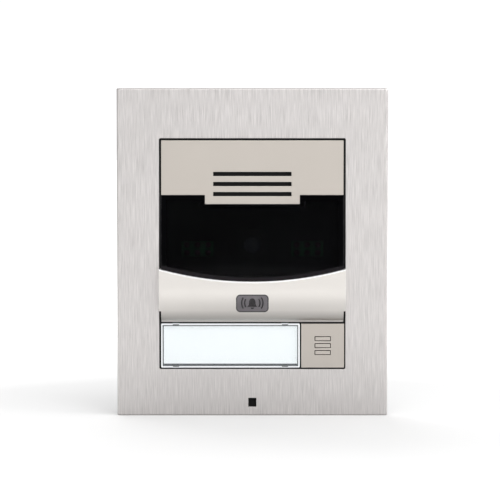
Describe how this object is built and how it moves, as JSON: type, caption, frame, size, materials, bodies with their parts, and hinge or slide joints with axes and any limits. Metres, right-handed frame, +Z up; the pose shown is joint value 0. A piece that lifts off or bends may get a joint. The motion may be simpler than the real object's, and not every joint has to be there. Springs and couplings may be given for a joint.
{
  "type": "door intercom panel",
  "caption": "Flush-mounted door intercom panel: brushed cover frame, slotted speaker panel, dark camera window, curved nickel chin, backlit name tag and a sprung call button.",
  "frame": {"origin": "centre of the cover frame's back face, on the wall plane, at half the frame's height and width", "axes": "+X to the right seen from the street, +Z up, +Y into the wall, so the front looks along -Y"},
  "size_m": [0.128, 0.036, 0.155],
  "materials": {
    "brushed_frame": "vertical brushed satin",
    "satin_panel": "satin nickel lacquer",
    "nickel_chin": "satin nickel lacquer",
    "dark_badge": "dark grey satin",
    "window_black": "black gloss polycarbonate",
    "housing_black": "fine matt texture",
    "zinc_steel": "zinc plated",
    "spring_steel": "bright",
    "screw_steel": "zinc plated",
    "foam_seal": "closed-cell foam",
    "seal_rubber": "matt silicone",
    "mesh_black": "fine black mesh",
    "cone_paper": "treated paper",
    "magnet_iron": "dark plated",
    "circuit_board": "green solder mask",
    "lens_black": "matt",
    "lens_glass": "coated",
    "ir_led_plastic": "dark tinted",
    "ribbon_film": "polyimide film",
    "tag_clear": "clear polycarbonate",
    "tag_paper": "white card, lit from behind",
    "opal_acrylic": "opal diffuser",
    "white_board": "white solder mask",
    "led_white": "phosphor",
    "part_black": "moulded",
    "shield_tin": "tin plated",
    "contact_gold": "gold flash",
    "relay_blue": "moulded",
    "terminal_green": "moulded",
    "capacitor_sleeve": "sleeved can",
    "lead_black": "matt",
    "connector_ivory": "moulded",
    "stem_red": "moulded",
    "plunger_white": "acetal"
  },
  "bodies": {
    "panel": {"cover_frame": "brushed_frame", "frame_seal": "foam_seal", "mounting_chassis": "zinc_steel", "frame_clips": "spring_steel", "module_screws": "screw_steel", "front_housing": "housing_black", "rear_housing": "housing_black", "housing_seal": "seal_rubber", "housing_screws": "screw_steel", "speaker_panel": "satin_panel", "speaker_mesh": "mesh_black", "speaker_gasket": "foam_seal", "speaker_basket": "zinc_steel", "speaker_cone": "cone_paper", "speaker_magnet": "magnet_iron", "speaker_screws": "screw_steel", "camera_window": "window_black", "window_seal": "foam_seal", "camera_board": "circuit_board", "camera_screws": "screw_steel", "lens_holder": "lens_black", "lens_barrel": "lens_black", "lens_glass": "lens_glass", "ir_boards": "circuit_board", "ir_leds": "ir_led_plastic", "camera_ribbon": "ribbon_film", "chin_cover": "nickel_chin", "chin_screws": "screw_steel", "badge": "dark_badge", "name_tag_card": "tag_paper", "light_guide": "opal_acrylic", "backlight_board": "white_board", "backlight_leds": "led_white", "backlight_header": "part_black", "main_board": "circuit_board", "board_screws": "screw_steel", "processor_shield": "shield_tin", "ethernet_jack": "shield_tin", "jack_contacts": "contact_gold", "ethernet_transformer": "part_black", "relay": "relay_blue", "terminal_block": "terminal_green", "terminal_screws": "screw_steel", "capacitors": "capacitor_sleeve", "microphone": "shield_tin", "microphone_boot": "seal_rubber", "microphone_mesh": "mesh_black", "microphone_lead": "lead_black", "microphone_connector": "connector_ivory", "switch_body": "part_black", "button_spring": "spring_steel", "button_seal": "seal_rubber"},
    "call_button": {"button_cap": "satin_panel", "button_plunger": "plunger_white", "button_clip": "spring_steel"},
    "switch_stem": {"switch_stem": "stem_red"},
    "name_tag_cover": {"name_tag_cover": "tag_clear"}
  },
  "joints": [
    {"name": "call_button_press", "type": "slide", "parent": "panel", "child": "call_button", "axis": [0, 1, 0], "range_m": [0, 0.0008], "stiffness_N_per_m": 1250, "springref_m": -0.0008, "deforming": ["button_spring"]},
    {"name": "switch_press", "type": "slide", "parent": "panel", "child": "switch_stem", "axis": [0, 1, 0], "range_m": [0, 0.0008]},
    {"name": "name_tag_pull", "type": "slide", "parent": "panel", "child": "name_tag_cover", "axis": [0, -1, 0], "range_m": [0, 0.008]}
  ],
  "couplings": [
    {"joint": "switch_press", "follows": "call_button_press", "ratio": 1}
  ]
}
